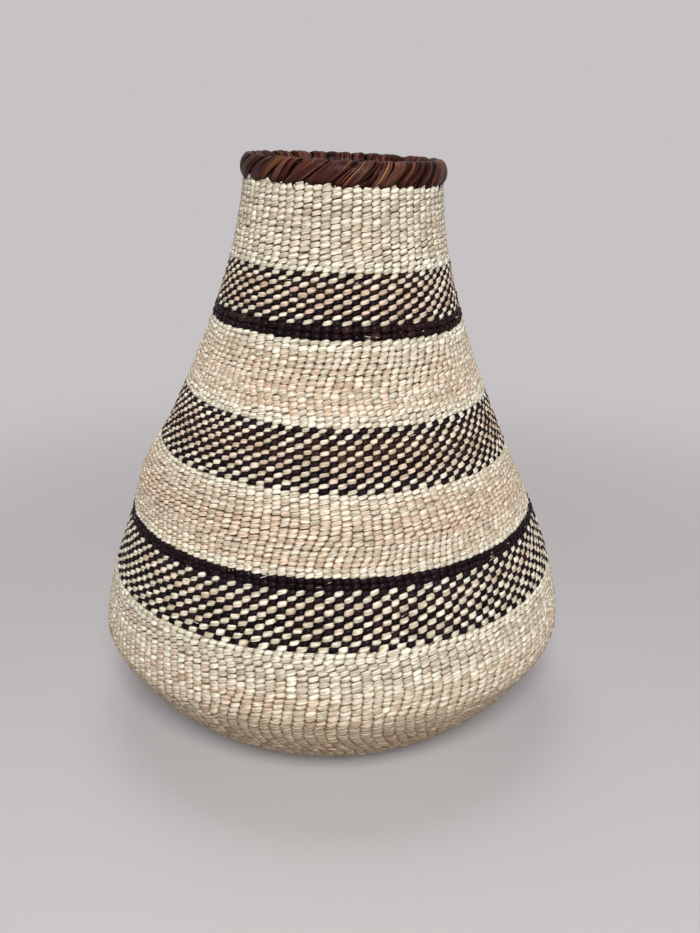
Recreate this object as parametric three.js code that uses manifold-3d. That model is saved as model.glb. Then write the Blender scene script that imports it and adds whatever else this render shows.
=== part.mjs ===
// A tall gourd-shaped basket, twined from palm leaf, with an overcast rim.
// Long flat stakes cross under the middle of the base, fan out and run up inside the wall to the rim.
// Short stakes are added where the wall swells, and end again where it narrows.
// Twined bands of natural and dyed strands grip the stakes, one band above the other.
// A hoop closes the mouth, and one strip of dark bark is wound round it through notches in the wall.
// Units are millimetres, +Z is up, and the origin is the middle of the resting face.
import * as THREE from "three";
import { mergeVertices } from "three/addons/utils/BufferGeometryUtils.js";
import Module from "manifold-3d";

// Outline of the outer face, from the middle of the base to the top of the woven wall
const START_RADIUS = 12;
const RESTING_RADIUS = 64;
const BELLY_RADIUS = 140;
const BELLY_HEIGHT = 62;
const NECK_RADIUS = 54.4;
const WALL_HEIGHT = 324;
const BASE_ROUNDING = 41;
const BELLY_ROUNDING_BELOW = 4;
const BELLY_ROUNDING_ABOVE = 59;
const NECK_ROUNDING = 97;
const NECK_FLARE = 5.6;
const WALL_THICKNESS = 4;

// The handmade shape leans to the right at the neck, and its bands dip to the right above the belly.
// The rim also dips a little towards the back, and the left side swells out below the middle check.
const NECK_LEAN = 7.9;
const BAND_DIP_DEGREES = 2.3;
const DIP_START_HEIGHT = 90;
const DIP_FULL_HEIGHT = 205;
const RIM_DIP_DEGREES = 1.4;
const RIM_DIP_START_HEIGHT = 280;
const RIM_DIP_FULL_HEIGHT = 320;
const LEFT_SWELL = 4.6;
const LEFT_SWELL_HEIGHT = 156;
const LEFT_SWELL_SPREAD = 20;
const LEFT_SWELL_FULL_REACH = 105;

// Widths of the bands, measured along the wall from below, with the neck band taking what is left
const BASE_WEAVE_WIDTH = 84;
const UNDERSIDE_WIDTH = 60;
const BELLY_WIDTH = 49.3;
const LOW_CHECK_WIDTH = 32.2;
const LOW_DARK_WIDTH = 6.1;
const MIDDLE_NATURAL_WIDTH = 42.8;
const MID_CHECK_WIDTH = 34;
const UPPER_NATURAL_WIDTH = 44.6;
const HIGH_DARK_WIDTH = 7.5;
const HIGH_CHECK_WIDTH = 26.5;

// Stakes
const STAKES_EACH_WAY = 3;
const STAKE_WIDTH = 3.6;
const STAKE_THICKNESS = 1;
const STAKE_SPACING_AT_START = 5;
const STAKE_LEVELLING_RUN = 7;
const STAKES_CROSSED_SHARE = 0.6;
const STAKE_DEPTH_IN_HOOP = 4;
const ADDED_STAKE_START = 45;
const ADDED_STAKE_END = 22;
const FIT_CLEARANCE = 0.3;

// Rim
const HOOP_WIDTH = 5.4;
const HOOP_HEIGHT = 7.6;
const BINDING_CLEARANCE = 0.7;
const BINDING_WIDTH = 8.8;
const BINDING_WIDTH_IN_NOTCH = 3.4;
const BINDING_THICKNESS = 0.9;
const BINDING_FLAT_SHARE = 0.6;
const FULL_WIDTH_DEGREES = 90;
const NOTCH_WIDTH_DEGREES = 60;
const WRAPS_PER_STAKE = 2;
const NOTCH_DEPTH = 3.4;
const NOTCH_SIDE_ROOM = 2;
const TUCK_DEGREES = 20;

// Fineness of the curved surfaces
const FACETS_PER_STAKE = 4;
const DEGREES_PER_FACET = 22;
const OUTLINE_STEPS = 240;
const OUTLINE_LENGTH_STEPS = 2400;
const HOOP_SIDES = 8;
const BINDING_STEPS_PER_WRAP = 14;
const TANGENT_REACH = 0.014;

// Colours
const NATURAL_PALM = 0xd8c8a2;
const CHECKED_PALM = 0x8a7868;
const DYED_PALM = 0x2a1c20;
const STAKE_PALM = 0xc2ab80;
const HOOP_CANE = 0x9a7a4c;
const BARK = 0x4a1f18;

const wasm = await Module();
wasm.setup();

function solidFrom(geometry) {
  geometry.deleteAttribute("normal");
  geometry.deleteAttribute("uv");
  const merged = mergeVertices(geometry, 1e-4);
  return new wasm.Manifold(
    new wasm.Mesh({
      numProp: 3,
      vertProperties: merged.attributes.position.array,
      triVerts: new Uint32Array(merged.index.array),
    }),
  );
}

function geometryFrom(solid) {
  const mesh = solid.getMesh();
  const positions = new Float32Array(mesh.numVert * 3);
  for (let i = 0; i < mesh.numVert; i++) {
    const first = i * mesh.numProp;
    positions.set(mesh.vertProperties.subarray(first, first + 3), i * 3);
  }
  const geometry = new THREE.BufferGeometry();
  geometry.setAttribute("position", new THREE.BufferAttribute(positions, 3));
  geometry.setIndex(new THREE.BufferAttribute(mesh.triVerts, 1));
  return geometry;
}

function subtractAll(solid, cutters) {
  return cutters.reduce((left, cutter) => left.subtract(cutter), solid);
}

// The outline is a flat base, a rounded underside up to the belly, and a long shoulder up to the neck.
// A point of it holds its radius x, its height y and its distance s along the wall from the base start.
function outlineCurve() {
  const flatBase = new THREE.LineCurve(
    new THREE.Vector2(START_RADIUS, 0),
    new THREE.Vector2(RESTING_RADIUS, 0),
  );
  const underside = new THREE.CubicBezierCurve(
    new THREE.Vector2(RESTING_RADIUS, 0),
    new THREE.Vector2(RESTING_RADIUS + BASE_ROUNDING, 0),
    new THREE.Vector2(BELLY_RADIUS, BELLY_HEIGHT - BELLY_ROUNDING_BELOW),
    new THREE.Vector2(BELLY_RADIUS, BELLY_HEIGHT),
  );
  const shoulder = new THREE.CubicBezierCurve(
    new THREE.Vector2(BELLY_RADIUS, BELLY_HEIGHT),
    new THREE.Vector2(BELLY_RADIUS, BELLY_HEIGHT + BELLY_ROUNDING_ABOVE),
    new THREE.Vector2(NECK_RADIUS + NECK_FLARE, WALL_HEIGHT - NECK_ROUNDING),
    new THREE.Vector2(NECK_RADIUS, WALL_HEIGHT),
  );
  const path = new THREE.CurvePath();
  path.add(flatBase);
  path.add(underside);
  path.add(shoulder);
  return path;
}

const outline = outlineCurve();
outline.arcLengthDivisions = OUTLINE_LENGTH_STEPS;
const wallLength = outline.getLength();

// A place on the wall: s is the distance from the base start, inset the depth below the outer face
function wallPoint(s, inset) {
  const share = THREE.MathUtils.clamp(s / wallLength, 0, 1);
  const step = 0.5 / OUTLINE_STEPS;
  const point = outline.getPointAt(share);
  const before = outline.getPointAt(Math.max(share - step, 0));
  const after = outline.getPointAt(Math.min(share + step, 1));
  const along = after.sub(before).normalize();
  const beyond = s - share * wallLength;
  return {
    x: point.x - along.y * inset + along.x * beyond,
    y: point.y + along.x * inset + along.y * beyond,
    along,
  };
}

// Bands, each with its distances from the base start. The ends of the added stakes lie in two of them.
const bandWidths = [
  ["base_weave", BASE_WEAVE_WIDTH, NATURAL_PALM],
  ["underside_weave", UNDERSIDE_WIDTH, NATURAL_PALM],
  ["belly_weave", BELLY_WIDTH, NATURAL_PALM],
  ["low_check_band", LOW_CHECK_WIDTH, CHECKED_PALM],
  ["low_dark_rows", LOW_DARK_WIDTH, DYED_PALM],
  ["middle_natural_weave", MIDDLE_NATURAL_WIDTH, NATURAL_PALM],
  ["mid_check_band", MID_CHECK_WIDTH, CHECKED_PALM],
  ["upper_natural_weave", UPPER_NATURAL_WIDTH, NATURAL_PALM],
  ["high_dark_rows", HIGH_DARK_WIDTH, DYED_PALM],
  ["high_check_band", HIGH_CHECK_WIDTH, CHECKED_PALM],
];
const widthBelowNeck = bandWidths.reduce((sum, [, width]) => sum + width, 0);
bandWidths.push(["neck_natural_weave", wallLength - widthBelowNeck, NATURAL_PALM]);

const bands = [];
let borderBelow = 0;
for (const [name, width, colour] of bandWidths) {
  bands.push({ name, from: borderBelow, to: borderBelow + width, colour });
  borderBelow += width;
}
const bandNamed = (name) => bands.find((band) => band.name === name);

// Every piece that follows the wall bends at the same stations: the borders, and where it curves more
const stations = [];
for (const band of bands) {
  const turn = wallPoint(band.from, 0).along.angleTo(wallPoint(band.to, 0).along);
  const steps = Math.max(Math.ceil(THREE.MathUtils.radToDeg(turn) / DEGREES_PER_FACET), 1);
  for (let i = 0; i < steps; i++) {
    stations.push(THREE.MathUtils.lerp(band.from, band.to, i / steps));
  }
}

function stationsBetween(from, to) {
  const inside = stations.filter((s) => s > from + FIT_CLEARANCE && s < to - FIT_CLEARANCE);
  return [from, ...inside, to];
}

// The lean and the dips are the same for every piece, so that the pieces keep fitting each other
function handmadeShape(geometry) {
  const position = geometry.getAttribute("position");
  const sideDip = Math.tan(THREE.MathUtils.degToRad(BAND_DIP_DEGREES));
  const backDip = Math.tan(THREE.MathUtils.degToRad(RIM_DIP_DEGREES));
  for (let i = 0; i < position.count; i++) {
    const x = position.getX(i);
    const y = position.getY(i);
    const z = position.getZ(i);
    const lean = NECK_LEAN * Math.max(z / WALL_HEIGHT, 0) ** 2;
    const leftShare = THREE.MathUtils.clamp(-x / LEFT_SWELL_FULL_REACH, 0, 1) ** 2;
    const heightShare = Math.exp(-(((z - LEFT_SWELL_HEIGHT) / LEFT_SWELL_SPREAD) ** 2));
    const bandShare = THREE.MathUtils.smoothstep(z, DIP_START_HEIGHT, DIP_FULL_HEIGHT);
    const rimShare = THREE.MathUtils.smoothstep(z, RIM_DIP_START_HEIGHT, RIM_DIP_FULL_HEIGHT);
    position.setX(i, x + lean - LEFT_SWELL * leftShare * heightShare);
    position.setZ(i, z - sideDip * bandShare * x - backDip * rimShare * y);
  }
  return geometry;
}

function finishedPiece(name, solid, colour, roughness) {
  const material = new THREE.MeshStandardMaterial({ color: colour, roughness, metalness: 0 });
  const mesh = new THREE.Mesh(handmadeShape(geometryFrom(solid)), material);
  mesh.name = name;
  return mesh;
}

// A closed strip through a row of sections with the same number of corners each
function stripThrough(sections) {
  const corners = sections[0].length;
  const positions = sections.flat().flatMap((corner) => [corner.x, corner.y, corner.z]);
  const index = [];
  for (let row = 0; row + 1 < sections.length; row++) {
    for (let k = 0; k < corners; k++) {
      const a = row * corners + k;
      const b = row * corners + ((k + 1) % corners);
      index.push(a, b, b + corners, a, b + corners, a + corners);
    }
  }
  const last = (sections.length - 1) * corners;
  for (let k = 1; k + 1 < corners; k++) {
    index.push(0, k + 1, k);
    index.push(last, last + k, last + k + 1);
  }
  const geometry = new THREE.BufferGeometry();
  geometry.setAttribute("position", new THREE.Float32BufferAttribute(positions, 3));
  geometry.setIndex(index);
  return geometry;
}

const UPWARD = new THREE.Vector3(0, 0, 1);
const MIRROR_ACROSS = new THREE.Vector3(-1, 1, 1);
const stakeCount = STAKES_EACH_WAY * 4;
const stakeStep = (2 * Math.PI) / stakeCount;
const facets = stakeCount * FACETS_PER_STAKE;

// Stakes

// One flat section of a stake, square to its path: across is its width, through its thickness
function stakeSection(centre, across, through, width, thickness) {
  const corners = [
    [1, 1],
    [1, -1],
    [-1, -1],
    [-1, 1],
  ];
  return corners.map(([a, t]) =>
    centre
      .clone()
      .addScaledVector(across, (a * width) / 2)
      .addScaledVector(through, (t * thickness) / 2),
  );
}

// The sections of a stake on the wall at one angle, between two distances from the base start
function wallSections(angle, from, to, level, width, thickness) {
  const across = new THREE.Vector3(-Math.sin(angle), Math.cos(angle), 0);
  const sections = [];
  for (const s of stationsBetween(from, to)) {
    const place = wallPoint(s, WALL_THICKNESS / 2 + level(s));
    const centre = new THREE.Vector3(
      place.x * Math.cos(angle),
      place.x * Math.sin(angle),
      place.y,
    );
    const through = new THREE.Vector3(
      place.along.y * Math.cos(angle),
      place.along.y * Math.sin(angle),
      -place.along.x,
    );
    sections.push(stakeSection(centre, across, through, width, thickness));
  }
  return sections;
}

// A long stake lies beside its neighbours in the middle of the base and turns there towards its own
// place round the wall. The two ways lie on each other, half a strip above or below the mid level.
function longStakeSections(way, place, grow) {
  const width = STAKE_WIDTH + 2 * grow;
  const thickness = STAKE_THICKNESS + 2 * grow;
  const offset = (place - (STAKES_EACH_WAY - 1) / 2) * STAKE_SPACING_AT_START;
  const fan = (place - (STAKES_EACH_WAY - 1) / 2) * stakeStep;
  const apart = (STAKE_THICKNESS + FIT_CLEARANCE) / 2;
  const crossingLevel = way === 0 ? -apart : apart;
  const turnX = offset === 0 ? START_RADIUS / 2 : offset / Math.tan(fan);
  const turnRadius = Math.hypot(turnX, offset);
  const crossedWidth = STAKE_SPACING_AT_START * STAKES_EACH_WAY;
  const crossingEdge = Math.max(turnRadius, crossedWidth * STAKES_CROSSED_SHARE);
  const level = (s) => {
    const radius = START_RADIUS + s;
    const levelled = (radius - crossingEdge) / STAKE_LEVELLING_RUN;
    return crossingLevel * (1 - THREE.MathUtils.clamp(levelled, 0, 1));
  };
  const end = wallLength + FIT_CLEARANCE + STAKE_DEPTH_IN_HOOP + grow;
  const firstS = crossingEdge - START_RADIUS;
  const runUp = (angle) => [
    ...wallSections(angle, firstS, firstS + STAKE_LEVELLING_RUN, level, width, thickness),
    ...wallSections(angle, firstS + STAKE_LEVELLING_RUN, end, level, width, thickness).slice(1),
  ];
  const height = WALL_THICKNESS / 2 + crossingLevel;
  const bend = new THREE.Vector3(turnX, offset, height);
  const bendAcross = new THREE.Vector3(-Math.sin(fan / 2), Math.cos(fan / 2), 0).divideScalar(
    Math.cos(fan / 2),
  );
  const down = new THREE.Vector3(0, 0, -1);
  const bendSection = stakeSection(bend, bendAcross, down, width, thickness);
  const half = [bendSection, ...runUp(fan)];
  const otherHalf = half
    .map((section) => section.map((corner) => corner.clone().multiply(MIRROR_ACROSS)))
    .reverse();
  const turn = way === 0 ? 0 : Math.PI / 2;
  return [...otherHalf, ...half].map((section) =>
    section.map((corner) => corner.clone().applyAxisAngle(UPWARD, turn)),
  );
}

function longStake(way, place, grow) {
  return solidFrom(stripThrough(longStakeSections(way, place, grow)));
}

// An added stake starts between two rows under the belly and ends again above the low bands
function addedStake(index, grow) {
  const angle = (index + 0.5) * stakeStep;
  const from = bandNamed("underside_weave").from + ADDED_STAKE_START - grow;
  const to = bandNamed("middle_natural_weave").from + ADDED_STAKE_END + grow;
  const width = STAKE_WIDTH + 2 * grow;
  const thickness = STAKE_THICKNESS + 2 * grow;
  return solidFrom(stripThrough(wallSections(angle, from, to, () => 0, width, thickness)));
}

// Woven bands

// A band is a ring of the wall. It keeps the fit clearance to the band above it.
function bandRing(band) {
  const isTop = band === bands[bands.length - 1];
  const from = band.from;
  const to = isTop ? band.to : band.to - FIT_CLEARANCE;
  const outer = [];
  const inner = [];
  for (const s of stationsBetween(from, to)) {
    const outside = wallPoint(s, 0);
    const inside = wallPoint(s, WALL_THICKNESS);
    outer.push(new THREE.Vector2(outside.x, outside.y));
    inner.unshift(new THREE.Vector2(inside.x, inside.y));
  }
  const profile = [...outer, ...inner, outer[0].clone()];
  const ring = new THREE.LatheGeometry(profile, facets, Math.PI / facets);
  ring.rotateX(Math.PI / 2);
  return solidFrom(ring);
}

// Rim

const hoopRadius = NECK_RADIUS - WALL_THICKNESS / 2;
const hoopCentre = WALL_HEIGHT + FIT_CLEARANCE + HOOP_HEIGHT / 2;

// A hoop of bent cane with an oval section sits on the top row and takes the ends of the stakes
function hoopRing() {
  const profile = [];
  for (let k = 0; k <= HOOP_SIDES; k++) {
    const around = (2 * Math.PI * (k % HOOP_SIDES)) / HOOP_SIDES;
    profile.push(
      new THREE.Vector2(
        hoopRadius + (HOOP_WIDTH / 2) * Math.cos(around),
        hoopCentre + (HOOP_HEIGHT / 2) * Math.sin(around),
      ),
    );
  }
  const ring = new THREE.LatheGeometry(profile, facets, Math.PI / facets);
  ring.rotateX(Math.PI / 2);
  return solidFrom(ring);
}

const wraps = stakeCount * WRAPS_PER_STAKE;
const wrapStep = (2 * Math.PI) / wraps;
const bindingTop = hoopCentre + HOOP_HEIGHT / 2 + BINDING_CLEARANCE + BINDING_THICKNESS / 2;
const bindingBottom = WALL_HEIGHT - NOTCH_DEPTH + BINDING_CLEARANCE + BINDING_THICKNESS / 2;
const bindingCentre = (bindingTop + bindingBottom) / 2;
const bindingRise = (bindingTop - bindingBottom) / 2;
const bindingReach = HOOP_WIDTH / 2 + BINDING_CLEARANCE + BINDING_THICKNESS / 2;

// Turned counts whole wraps from the first notch. On the outside the strip climbs over to the next
// notch's place, and on the inside it drops straight down to that notch.
function bindingPoint(turned) {
  const wrap = Math.floor(turned);
  const part = turned - wrap;
  const climbed = part < 0.5 ? (1 - Math.cos(2 * Math.PI * part)) / 2 : 1;
  const angle = (wrap + 0.5 + climbed) * wrapStep;
  const around = 2 * Math.PI * part - Math.PI / 2;
  const radius = hoopRadius + bindingReach * Math.cos(around);
  const height = bindingCentre + bindingRise * Math.sin(around);
  return new THREE.Vector3(radius * Math.cos(angle), radius * Math.sin(angle), height);
}

function bindingSections() {
  const first = TUCK_DEGREES / 360;
  const last = wraps - TUCK_DEGREES / 360;
  const steps = wraps * BINDING_STEPS_PER_WRAP;
  const sections = [];
  for (let i = 0; i <= steps; i++) {
    const turned = first + ((last - first) * i) / steps;
    const centre = bindingPoint(turned);
    const ahead = bindingPoint(turned + TANGENT_REACH);
    const tangent = ahead.sub(bindingPoint(turned - TANGENT_REACH)).normalize();
    const spoke = new THREE.Vector3(centre.x, centre.y, 0).normalize();
    const middle = spoke.clone().multiplyScalar(hoopRadius);
    middle.z = bindingCentre;
    const outward = centre.clone().sub(middle);
    outward.x /= bindingReach ** 2;
    outward.y /= bindingReach ** 2;
    outward.z /= bindingRise ** 2;
    outward.addScaledVector(tangent, -outward.dot(tangent)).normalize();
    const across = new THREE.Vector3().crossVectors(outward, tangent).normalize();
    const inNotch = THREE.MathUtils.smoothstep(
      Math.cos(2 * Math.PI * turned),
      Math.cos(THREE.MathUtils.degToRad(FULL_WIDTH_DEGREES)),
      Math.cos(THREE.MathUtils.degToRad(NOTCH_WIDTH_DEGREES)),
    );
    const width = THREE.MathUtils.lerp(BINDING_WIDTH, BINDING_WIDTH_IN_NOTCH, inNotch);
    const corners = [
      [1, 0],
      [BINDING_FLAT_SHARE, 1],
      [-BINDING_FLAT_SHARE, 1],
      [-1, 0],
      [-BINDING_FLAT_SHARE, -1],
      [BINDING_FLAT_SHARE, -1],
    ];
    sections.push(
      corners.map(([a, t]) =>
        centre
          .clone()
          .addScaledVector(across, (a * width) / 2)
          .addScaledVector(outward, (t * BINDING_THICKNESS) / 2),
      ),
    );
  }
  return sections;
}

// The least distance between parts of the strip that are half a wrap or more apart
function leastGapToItself(sections) {
  const apart = Math.floor(BINDING_STEPS_PER_WRAP / 2);
  let least = Infinity;
  for (let i = 0; i < sections.length; i++) {
    const far = Math.min(i + BINDING_STEPS_PER_WRAP * 2, sections.length - 1);
    for (let j = i + apart; j <= far; j++) {
      for (const a of sections[i]) {
        for (const b of sections[j]) least = Math.min(least, a.distanceTo(b));
      }
    }
  }
  const lastRow = sections[sections.length - 1];
  for (const a of sections[0]) {
    for (const b of lastRow) least = Math.min(least, a.distanceTo(b));
  }
  return least;
}

// Notches in the top rows, between the stakes, let the strip pass under the hoop. Each reaches a
// wall's thickness beyond both faces of the wall.
function notchCutters() {
  const width = BINDING_WIDTH_IN_NOTCH + 2 * NOTCH_SIDE_ROOM;
  const height = NOTCH_DEPTH + FIT_CLEARANCE;
  const depth = 3 * WALL_THICKNESS;
  return Array.from({ length: wraps }, (_, wrap) => {
    const angle = (wrap + 0.5) * wrapStep;
    const cutter = new THREE.BoxGeometry(depth, width, height);
    cutter.translate(hoopRadius, 0, WALL_HEIGHT - NOTCH_DEPTH + height / 2);
    cutter.rotateZ(angle);
    return solidFrom(cutter);
  });
}

// The basket is put together from the inside out

const group = new THREE.Group();

const slots = [];
for (const way of [0, 1]) {
  for (let place = 0; place < STAKES_EACH_WAY; place++) {
    slots.push(longStake(way, place, FIT_CLEARANCE));
    const name = `long_stake_${way * STAKES_EACH_WAY + place + 1}`;
    group.add(finishedPiece(name, longStake(way, place, 0), STAKE_PALM, 0.8));
  }
}
for (let index = 0; index < stakeCount; index++) {
  slots.push(addedStake(index, FIT_CLEARANCE));
  const name = `added_stake_${index + 1}`;
  group.add(finishedPiece(name, addedStake(index, 0), STAKE_PALM, 0.8));
}

for (const band of bands) {
  const isTop = band === bands[bands.length - 1];
  const cutters = isTop ? [...slots, ...notchCutters()] : slots;
  const ring = subtractAll(bandRing(band), cutters);
  group.add(finishedPiece(band.name, ring, band.colour, 0.75));
}

group.add(finishedPiece("rim_hoop", subtractAll(hoopRing(), slots), HOOP_CANE, 0.7));

const sections = bindingSections();
console.log(`rim binding: least gap to itself ${leastGapToItself(sections).toFixed(2)} mm`);
group.add(finishedPiece("rim_binding", solidFrom(stripThrough(sections)), BARK, 0.35));

export default group;
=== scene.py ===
# A tall gourd-shaped basket, twined from palm leaf, with an overcast rim of dark bark.
# Sizes are in millimetres and become metres where a piece is placed, and the room is in metres.
# The origin is the middle of the resting face, +Z is up, and the front of the basket faces -Y.
import math

import bmesh
import bpy
import numpy as np
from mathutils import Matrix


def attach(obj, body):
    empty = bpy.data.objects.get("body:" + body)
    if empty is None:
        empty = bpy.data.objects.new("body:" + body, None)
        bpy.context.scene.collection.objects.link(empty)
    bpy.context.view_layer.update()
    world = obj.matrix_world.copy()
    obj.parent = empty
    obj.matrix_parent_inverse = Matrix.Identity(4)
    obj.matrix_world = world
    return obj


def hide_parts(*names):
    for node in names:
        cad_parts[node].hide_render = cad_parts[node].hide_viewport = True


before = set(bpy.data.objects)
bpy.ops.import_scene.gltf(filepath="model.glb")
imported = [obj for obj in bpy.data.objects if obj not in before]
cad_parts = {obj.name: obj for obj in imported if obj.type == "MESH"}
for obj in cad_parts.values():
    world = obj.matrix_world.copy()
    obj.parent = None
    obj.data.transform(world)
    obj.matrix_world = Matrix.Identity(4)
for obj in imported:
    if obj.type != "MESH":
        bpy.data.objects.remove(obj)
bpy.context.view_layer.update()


# Camera and room
# The photograph looks a little down on the basket from close in front. The floor is plain and pale,
# and it fades into the colour of the background, so that no edge shows behind the basket.
CAMERA_PLACE = (0.01135, -0.573, 0.370)
CAMERA_LOOKS_DOWN = 20.88
CAMERA_LENS = 38.59
CAMERA_SENSOR = 36
CAMERA_SEES_FROM = 0.01
BACKGROUND_COLOUR = (0.57, 0.54, 0.55, 1)
FLOOR_COLOUR = (0.48, 0.455, 0.46, 1)
FLOOR_RADIUS = 12
FLOOR_SIDES = 64
FLOOR_FADE_START = 0.2
FLOOR_FADE_END = 0.75
ROOM_LIGHT_COLOUR = (1.0, 0.93, 0.84, 1)
ROOM_LIGHT_STRENGTH = 0.07
LAMPS_AIM_AT = (0, 0, 0.15)
LAMPS = [
    # name, place, size, watts
    ("window", (0.08, -1.7, 1.4), 0.9, 61),
    ("top", (-0.1, 0.5, 1.9), 1.2, 11),
]

camera_data = bpy.data.cameras.new("camera")
camera_data.sensor_width = CAMERA_SENSOR
camera_data.lens = CAMERA_LENS
camera_data.clip_start = CAMERA_SEES_FROM
camera = bpy.data.objects.new("camera", camera_data)
camera.location = CAMERA_PLACE
camera.rotation_euler = (math.radians(90 - CAMERA_LOOKS_DOWN), 0, 0)
bpy.context.scene.collection.objects.link(camera)
bpy.context.scene.camera = camera
bpy.context.scene.view_settings.view_transform = "Standard"


def material_named(name, roughness, specular=0.5):
    """A new material, its node tree and its shader."""
    material = bpy.data.materials.new(name)
    material.use_nodes = True
    tree = material.node_tree
    shader = tree.nodes["Principled BSDF"]
    shader.inputs["Roughness"].default_value = roughness
    shader.inputs["Specular IOR Level"].default_value = specular
    return material, tree, shader


def computed(tree, operation, *values):
    """One calculation with plain numbers or the outputs of other nodes."""
    node = tree.nodes.new("ShaderNodeMath")
    node.operation = operation
    for socket, value in zip(node.inputs, values):
        if isinstance(value, bpy.types.NodeSocket):
            tree.links.new(value, socket)
        else:
            socket.default_value = value
    return node.outputs[0]


def ranged(tree, value, start, end, low=0, high=1):
    """Goes smoothly from low to high while the value goes from start to end."""
    node = tree.nodes.new("ShaderNodeMapRange")
    node.interpolation_type = "SMOOTHSTEP"
    tree.links.new(value, node.inputs["Value"])
    node.inputs["From Min"].default_value = start
    node.inputs["From Max"].default_value = end
    node.inputs["To Min"].default_value = low
    node.inputs["To Max"].default_value = high
    return node.outputs["Result"]


def seen_rays(tree):
    """1 for camera, mirror and glass rays, and 0 for the rays that carry light."""
    path = tree.nodes.new("ShaderNodeLightPath")
    seen = computed(tree, "MAXIMUM", path.outputs["Is Camera Ray"], path.outputs["Is Glossy Ray"])
    return computed(tree, "MAXIMUM", seen, path.outputs["Is Transmission Ray"])


def mixed_surface(tree, share, first, second):
    """The first surface, and the second where the share is 1."""
    node = tree.nodes.new("ShaderNodeMixShader")
    for value, socket in zip((share, first, second), node.inputs):
        tree.links.new(value, socket)
    return node.outputs[0]


bm = bmesh.new()
bmesh.ops.create_circle(bm, cap_ends=True, segments=FLOOR_SIDES, radius=FLOOR_RADIUS)
floor_mesh = bpy.data.meshes.new("floor")
bm.to_mesh(floor_mesh)
bm.free()
floor = bpy.data.objects.new("floor", floor_mesh)
bpy.context.scene.collection.objects.link(floor)

floor_material, tree, shader = material_named("floor", roughness=0.9, specular=0.1)
shader.inputs["Base Color"].default_value = FLOOR_COLOUR
place = tree.nodes.new("ShaderNodeTexCoord")
distance = tree.nodes.new("ShaderNodeVectorMath")
distance.operation = "LENGTH"
tree.links.new(place.outputs["Object"], distance.inputs[0])
fade = ranged(tree, distance.outputs["Value"], FLOOR_FADE_START, FLOOR_FADE_END)
faded = computed(tree, "MULTIPLY", fade, seen_rays(tree))
glow = tree.nodes.new("ShaderNodeEmission")
glow.inputs["Color"].default_value = BACKGROUND_COLOUR
surface = mixed_surface(tree, faded, shader.outputs[0], glow.outputs[0])
tree.links.new(surface, tree.nodes["Material Output"].inputs["Surface"])
floor_mesh.materials.append(floor_material)

world = bpy.data.worlds.new("room")
world.use_nodes = True
tree = world.node_tree
light_of_room = tree.nodes["Background"]
light_of_room.inputs["Color"].default_value = ROOM_LIGHT_COLOUR
light_of_room.inputs["Strength"].default_value = ROOM_LIGHT_STRENGTH
seen_room = tree.nodes.new("ShaderNodeBackground")
seen_room.inputs["Color"].default_value = BACKGROUND_COLOUR
surface = mixed_surface(tree, seen_rays(tree), light_of_room.outputs[0], seen_room.outputs[0])
tree.links.new(surface, tree.nodes["World Output"].inputs["Surface"])
bpy.context.scene.world = world

for name, lamp_place, size, watts in LAMPS:
    lamp_data = bpy.data.lights.new(name, "AREA")
    lamp_data.shape = "DISK"
    lamp_data.size = size
    lamp_data.energy = watts
    lamp = bpy.data.objects.new(name, lamp_data)
    lamp.location = lamp_place
    towards = np.array(LAMPS_AIM_AT) - np.array(lamp_place)
    lamp.rotation_euler = (
        math.atan2(math.hypot(towards[0], towards[1]), -towards[2]),
        0,
        math.atan2(towards[1], towards[0]) - math.pi / 2,
    )
    bpy.context.scene.collection.objects.link(lamp)


# Stakes
# Flat strips of palm leaf cross in the middle of the base, fan out and run up inside the wall.
# New stakes are pushed in beside them where the wall swells, and stakes end where it narrows.
# Every row of twining grips the stakes, so the rows and the places of the stakes are set here.
MILLIMETRE = 0.001
START_RADIUS = 12
RESTING_RADIUS = 64
BELLY_RADIUS = 140
BELLY_HEIGHT = 62
NECK_RADIUS = 54.4
WALL_HEIGHT = 324
BASE_ROUNDING = 41
BELLY_ROUNDING_BELOW = 4
BELLY_ROUNDING_ABOVE = 59
NECK_ROUNDING = 97
NECK_FLARE = 5.6
WALL_THICKNESS = 4
NECK_LEAN = 7.9
BAND_DIP_DEGREES = 2.3
DIP_START_HEIGHT = 90
DIP_FULL_HEIGHT = 205
RIM_DIP_DEGREES = 1.4
RIM_DIP_START_HEIGHT = 280
RIM_DIP_FULL_HEIGHT = 320
LEFT_SWELL = 4.6
LEFT_SWELL_HEIGHT = 156
LEFT_SWELL_SPREAD = 20
LEFT_SWELL_FULL_REACH = 105

# Every row of the spiral starts at the back
SEAM_ANGLE = math.pi / 2

# The outline is followed in this many points, and its end runs on straight for the stakes' tops
RESTING_POINTS = 200
LOWER_POINTS = 600
UPPER_POINTS = 1200
OUTLINE_RUNS_ON = 10

# Bands from below: name, width along the wall, rows, stakes at the last row, share of the band where
# their number starts and stops changing, and dyed strands of two. The neck takes what is left. With
# an odd number of stakes the strands change places from row to row, and that makes the checks.
BANDS = [
    ("base_weave", 84.0, 28, 112, 0, 1, 0),
    ("underside_weave", 60.0, 20, 140, 0, 1, 0),
    ("belly_weave", 49.3, 16, 155, 0, 0.6, 0),
    ("low_check_band", 32.2, 10, 159, 0, 0.1, 1),
    ("low_dark_rows", 6.1, 2, 159, 0, 1, 2),
    ("middle_natural_weave", 42.8, 16, 129, 0.3, 0.5, 0),
    ("mid_check_band", 34.0, 12, 129, 0, 1, 1),
    ("upper_natural_weave", 44.6, 15, 85, 0, 1, 0),
    ("high_dark_rows", 7.5, 2, 85, 0, 1, 2),
    ("high_check_band", 26.5, 10, 85, 0, 1, 1),
    ("neck_natural_weave", None, 15, 68, 0, 0.15, 0),
]
BAND_NAMES = [band[0] for band in BANDS]
BAND_DYED = [band[6] for band in BANDS]

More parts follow.
